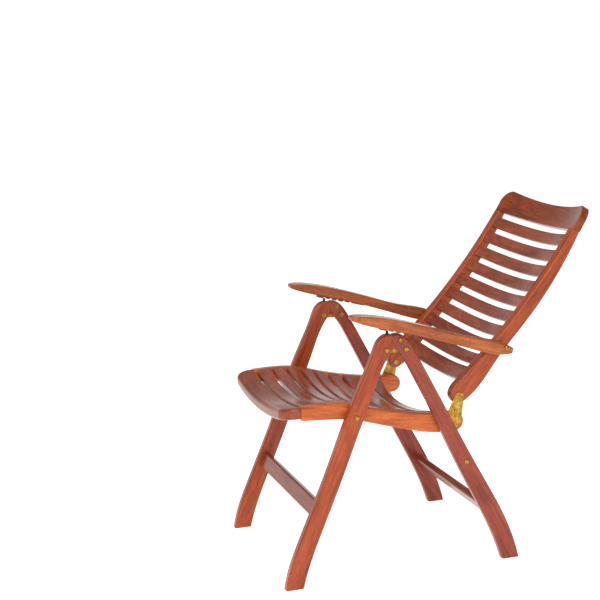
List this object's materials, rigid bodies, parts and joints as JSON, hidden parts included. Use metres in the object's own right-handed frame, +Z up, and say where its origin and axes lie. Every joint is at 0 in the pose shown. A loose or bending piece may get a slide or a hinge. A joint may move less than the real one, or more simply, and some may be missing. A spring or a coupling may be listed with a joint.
{
  "type": "folding garden armchair",
  "caption": "High-backed slatted hardwood garden armchair with brass fittings; its legs fold at the apex and its back reclines on notched armrests.",
  "frame": {"origin": "on the floor, at the centre of the whole chair, open with its back fully reclined", "axes": "+Z up; the sitter faces -Y; +X is the sitter's left"},
  "size_m": [0.636, 0.914, 0.9148],
  "materials": {
    "hardwood": "oiled",
    "frame_wood": "oiled",
    "dowel_wood": "plain",
    "rack_wood": "oiled",
    "brass": "lacquered",
    "peg_steel": "blackened"
  },
  "bodies": {
    "front_frame": {"front_leg_left": "frame_wood", "front_leg_right": "frame_wood", "front_stretcher": "frame_wood", "front_stretcher_dowels": "dowel_wood", "apex_pivot_bolts": "brass", "seat_pivot_bolts": "brass", "seat_washers": "brass", "rest_pegs": "peg_steel"},
    "rear_frame": {"rear_leg_left": "frame_wood", "rear_leg_right": "frame_wood", "rear_stretcher": "frame_wood", "rear_stretcher_dowels": "dowel_wood", "apex_plate_left": "brass", "apex_plate_right": "brass", "apex_plate_bolts": "brass", "stay_pivot_bolts": "brass"},
    "seat": {"seat_rail_left": "hardwood", "seat_rail_right": "hardwood", "seat_front_rail": "hardwood", "seat_slat_1": "hardwood", "seat_slat_2": "hardwood", "seat_slat_3": "hardwood", "seat_slat_4": "hardwood", "seat_slat_5": "hardwood", "seat_slat_6": "hardwood", "seat_slat_7": "hardwood", "seat_rear_slat": "hardwood", "hinge_plate_left": "brass", "hinge_plate_right": "brass", "hinge_plate_screws": "brass", "stay_studs": "brass"},
    "stays": {"stay_left": "brass", "stay_right": "brass"},
    "back_pins": {"back_pivot_pins": "brass"},
    "back": {"back_stile_left": "hardwood", "back_stile_right": "hardwood", "back_slat_1": "hardwood", "back_slat_2": "hardwood", "back_slat_3": "hardwood", "back_slat_4": "hardwood", "back_slat_5": "hardwood", "back_slat_6": "hardwood", "back_slat_7": "hardwood", "back_slat_8": "hardwood", "back_slat_9": "hardwood", "back_bottom_rail": "hardwood", "back_top_rail": "hardwood"},
    "arm_bolts": {"arm_pivot_bolts": "brass", "arm_washers": "brass"},
    "left_armrest": {"armrest_left": "hardwood", "notch_rack_left": "rack_wood"},
    "right_armrest": {"armrest_right": "hardwood", "notch_rack_right": "rack_wood"}
  },
  "joints": [
    {"name": "fold", "type": "hinge", "parent": "front_frame", "child": "rear_frame", "pos_m": [0, -0.15805, 0.598], "axis": [-1, 0, 0], "range_deg": [0, 40]},
    {"name": "seat_tilt", "type": "hinge", "parent": "front_frame", "child": "seat", "pos_m": [0, -0.24655, 0.431], "axis": [-1, 0, 0], "range_deg": [0, 68]},
    {"name": "stay_swing", "type": "hinge", "parent": "rear_frame", "child": "stays", "pos_m": [0, 0.04745, 0.279], "axis": [-1, 0, 0], "range_deg": [0, 140]},
    {"name": "back_fold", "type": "hinge", "parent": "seat", "child": "back_pins", "pos_m": [0, 0.04395, 0.446], "axis": [1, 0, 0], "range_deg": [0, 60]},
    {"name": "recline", "type": "hinge", "parent": "back_pins", "child": "back", "pos_m": [0, 0.04395, 0.446], "axis": [1, 0, 0], "range_deg": [0, 28]},
    {"name": "arm_fold", "type": "hinge", "parent": "back", "child": "arm_bolts", "pos_m": [0, 0.16795, 0.572], "axis": [-1, 0, 0], "range_deg": [0, 87]},
    {"name": "left_arm_swing", "type": "hinge", "parent": "arm_bolts", "child": "left_armrest", "pos_m": [0, 0.16795, 0.572], "axis": [-1, 0, 0], "range_deg": [0, 22.7]},
    {"name": "right_arm_swing", "type": "hinge", "parent": "arm_bolts", "child": "right_armrest", "pos_m": [0, 0.16795, 0.572], "axis": [-1, 0, 0], "range_deg": [0, 22.7]}
  ],
  "couplings": [
    {"joint": "seat_tilt", "follows": "fold", "ratio": 1.7},
    {"joint": "stay_swing", "follows": "fold", "ratio": 3.5},
    {"joint": "back_fold", "follows": "fold", "ratio": 1.5},
    {"joint": "arm_fold", "follows": "fold", "ratio": 2.175},
    {"joint": "left_arm_swing", "follows": "recline", "ratio": 0.81},
    {"joint": "right_arm_swing", "follows": "recline", "ratio": 0.81}
  ]
}
